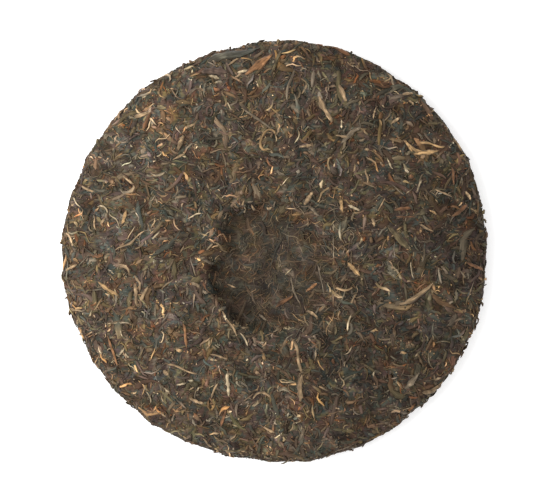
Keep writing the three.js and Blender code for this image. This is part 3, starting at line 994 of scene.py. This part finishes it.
def crumbs():
    rng = np.random.default_rng(29)
    leaves = spread(rng, 4500, BACK, start=0, end=BACK_REACH)
    shape(rng, leaves, length=(1, 2.8), width=(0.35, 0.75), flatness=0.3, ragged=0.25)
    settle(rng, leaves, lift=(0, 0.4), level=(0.4, 0.8), dip=(0, 0.2))
    paint(rng, leaves, CRUMB_MIX, jitter=0.25)
    return rng, leaves


def rim_bits():
    """Leaf ends that stand off the rim, mostly at the right and in front."""
    rng = np.random.default_rng(30)
    leaves = spread(rng, 900, BACK, start=101, end=121)
    angle = np.arctan2(leaves["y"], leaves["x"])
    leaves = leaves[rng.random(len(leaves)) < 0.3 + 0.5 * np.cos(angle + 0.4).clip(0)]
    shape(rng, leaves, length=(3, 8), width=(0.7, 1.8), ragged=0.2)
    leaves["lift"] = between(rng, 0.1, 1, len(leaves))
    leaves["level"] = between(rng, 0.7, 1.8, len(leaves))
    leaves["tilt"] = rng.normal(0, 1.2, len(leaves))
    leaves["dip"] = between(rng, 0, 1, len(leaves))
    paint(rng, leaves, BROWN_MIX, BUD_MIX)
    return rng, leaves


def under_leaves():
    rng = np.random.default_rng(25)
    leaves = spread(rng, 3800, DOMED, start=0, end=DOMED_REACH)
    shape(rng, leaves, length=(5, 17), width=(1.1, 2.8))
    settle(rng, leaves, lift=(-0.4, 0.2), level=(0.05, 0.5), dip=(0.2, 1.0))
    paint(rng, leaves, UNDER_MIX)
    return rng, leaves


def part_leaves():
    """The large leaves that the part spreads over the cake, by its own rule."""
    random = seeded_random(PART_LEAF_SEED)
    shortest, longest = PART_LEAF_LENGTH
    narrowest, widest = PART_LEAF_WIDTH
    rows = []
    for face, count, start, end, swing in PART_LEAF_ZONES:
        for i in range(count):
            reach = math.sqrt(start**2 + (end**2 - start**2) * (i + next(random)) / count)
            angle = i * GOLDEN_ANGLE
            heading = angle + math.pi / 2 + (next(random) - 0.5) * 2 * swing
            length = shortest + (longest - shortest) * next(random)
            width = narrowest + (widest - narrowest) * next(random)
            turn = (next(random) - 0.5) * 2 * PART_LEAF_TURN
            x = reach * math.cos(angle)
            y = reach * math.sin(angle)
            rows.append((face, x, y, heading, length, width, turn))
    return rows


def large_leaves():
    """The large leaves that the part also has, where they aren't among the known ones."""
    rng = np.random.default_rng(31)
    rows = part_leaves()
    leaves = np.zeros(len(rows), LEAF)
    leaves["seed"] = rng.random(len(rows))
    for i, row in enumerate(rows):
        leaves["face"][i], leaves["x"][i], leaves["y"][i] = row[:3]
    shape(rng, leaves, PART_LEAF_LENGTH, PART_LEAF_WIDTH, flatness=0.3, hook=0.2)
    for i, row in enumerate(rows):
        leaves["heading"][i], leaves["length"][i], leaves["width"][i], leaves["turn"][i] = row[3:]
    leaves["thickness"] = (leaves["width"] * 0.5).clip(0.6, 1.4)
    leaves["lobes"] = 4
    leaves["ridge"] = 0.28
    settle(rng, leaves, lift=(-0.3, 0.1), level=(0.2, 0.55), dip=(0.8, 1.4))
    paint(rng, leaves, DARK_MIX + BROWN_MIX, BUD_MIX, own_tip=0.7)
    return rng, leaves


def known_leaves():
    """The known leaves, laid out along the face so that each is where the list has it, seen from above."""
    rng = np.random.default_rng(26)
    leaves = np.zeros(len(KNOWN_LEAVES), LEAF)
    leaves["face"] = BACK
    leaves["seed"] = rng.random(len(leaves))
    # The length and width here are replaced below, by each leaf's own
    shape(rng, leaves, length=(8, 8), width=(1, 1), flatness=0, hook=0, sway=0.12, ragged=0.16)
    back_rows = np.argmax(RADII)
    for leaf, (x, y, heading, length, width, turn, colour) in zip(leaves, KNOWN_LEAVES):
        radius = math.hypot(x, y)
        stretch = np.interp(radius, RADII[:back_rows], REACHES[:back_rows]) / radius
        leaf["x"] = x * stretch
        leaf["y"] = y * stretch
        leaf["heading"] = math.radians(heading)
        leaf["length"] = length
        leaf["width"] = width * KNOWN_WIDTH
        leaf["thickness"] = min(width * KNOWN_THICKNESS, KNOWN_THICKEST)
        leaf["turn"] = math.radians(turn)
        leaf["colour"] = linear(colour) * KNOWN_OWN_COLOUR + linear(EARTH) * KNOWN_EARTH_COLOUR
        leaf["tip_colour"] = linear(colour) * KNOWN_TIP_LIGHT
    leaves["bluntness"] = 2.6
    leaves["uneven"] = 0.22
    leaves["twist"] = rng.normal(0, 0.9, len(leaves))
    leaves["lobes"] = 4
    leaves["ridge"] = 0.18
    leaves["lift"] = 0.45
    leaves["level"] = 0.95
    leaves["dip"] = 0.7
    return rng, leaves


def make_cake():
    """All pieces of the cake: the triangles of each kind come from its count, rows and sides."""
    materials = {
        "dark_leaf": leaf_material("dark_leaf", roughness=0.62, bump=0.6, streaks=0.3, blotches=0.2),
        "brown_leaf": leaf_material("brown_leaf", roughness=0.66, bump=0.6, streaks=0.3, blotches=0.22),
        "golden_bud": leaf_material(
            "golden_bud", roughness=0.7, bump=0.5, streaks=0.35, blotches=0.3, sheen=0.12),
        "leaf_stem": leaf_material("leaf_stem", roughness=0.55, bump=0.4, streaks=0.25, blotches=0.2),
        "pressed_leaf": leaf_material("pressed_leaf", roughness=0.75, bump=0.5, streaks=0.3, blotches=0.2),
    }
    kinds = (  # name, function, rows, sides, slot
        ("dark_leaves", dark_leaves, 5, 6, "dark_leaf"),
        ("brown_leaves", brown_leaves, 5, 6, "brown_leaf"),
        ("fine_leaves", fine_leaves, 3, 4, "brown_leaf"),
        ("golden_buds", buds, 7, 6, "golden_bud"),
        ("stems", stems, 9, 5, "leaf_stem"),
        ("strands", strands, 7, 3, "brown_leaf"),
        ("fibres", fibres, 9, 4, "leaf_stem"),
        ("broad_leaves", broad_leaves, 7, 8, "dark_leaf"),
        ("crumbs", crumbs, 1, 5, "brown_leaf"),
        ("rim_bits", rim_bits, 5, 5, "brown_leaf"),
        ("under_leaves", under_leaves, 3, 5, "dark_leaf"),
        ("large_leaves", large_leaves, 11, 8, "dark_leaf"),
        ("known_leaves", known_leaves, 13, 8, "golden_bud"),
    )
    core_piece(np.random.default_rng(11), materials["pressed_leaf"])
    for name, make_leaves, rows, sides, slot in kinds:
        rng, leaves = make_leaves()
        leaf_piece(rng, name, leaves, rows, sides, materials[slot])


def make_floor():
    bpy.ops.mesh.primitive_plane_add(size=FLOOR_SIZE, location=(0, 0, 0))
    floor = bpy.context.object
    floor.name = "floor"
    paper = bpy.data.materials.new("floor_paper")
    paper.use_nodes = True
    shader = paper.node_tree.nodes["Principled BSDF"]
    shader.inputs["Base Color"].default_value = FLOOR_WHITE
    shader.inputs["Roughness"].default_value = 0.9
    shader.inputs["Emission Color"].default_value = WHITE
    shader.inputs["Emission Strength"].default_value = FLOOR_GLOW
    floor.data.materials.append(paper)


def make_light():
    world = bpy.data.worlds.new("studio")
    bpy.context.scene.world = world
    world.use_nodes = True
    background = world.node_tree.nodes["Background"]
    background.inputs["Color"].default_value = WHITE
    background.inputs["Strength"].default_value = 1
    key_data = bpy.data.lights.new("key", "AREA")
    key_data.shape = "DISK"
    key_data.size = KEY_SIZE
    key_data.energy = KEY_POWER
    key = bpy.data.objects.new("key", key_data)
    bpy.context.scene.collection.objects.link(key)
    key.location = KEY_PLACE
    key.rotation_euler = (-key.location).to_track_quat("-Z", "Y").to_euler()


def make_camera():
    """Straight above the cake, so far off that a long lens sees the view's width at the widest line."""
    camera_data = bpy.data.cameras.new("camera")
    camera_data.sensor_fit = "HORIZONTAL"
    camera_data.sensor_width = SENSOR_WIDTH
    camera_data.lens = LENS
    camera = bpy.data.objects.new("camera", camera_data)
    bpy.context.scene.collection.objects.link(camera)
    distance = VIEW_WIDTH * LENS / SENSOR_WIDTH
    middle_x, middle_y = VIEW_MIDDLE
    camera.location = (middle_x * MM, middle_y * MM, (RIM_HEIGHT + distance) * MM)
    bpy.context.scene.camera = camera


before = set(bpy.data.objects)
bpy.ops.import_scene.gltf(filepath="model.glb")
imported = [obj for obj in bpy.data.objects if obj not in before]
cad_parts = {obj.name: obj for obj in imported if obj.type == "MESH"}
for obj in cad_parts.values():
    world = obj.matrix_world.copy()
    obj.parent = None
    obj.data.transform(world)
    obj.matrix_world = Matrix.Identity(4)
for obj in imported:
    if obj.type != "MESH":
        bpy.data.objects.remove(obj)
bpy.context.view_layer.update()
make_cake()
make_floor()
make_light()
make_camera()
bpy.context.scene.view_settings.view_transform = "Standard"
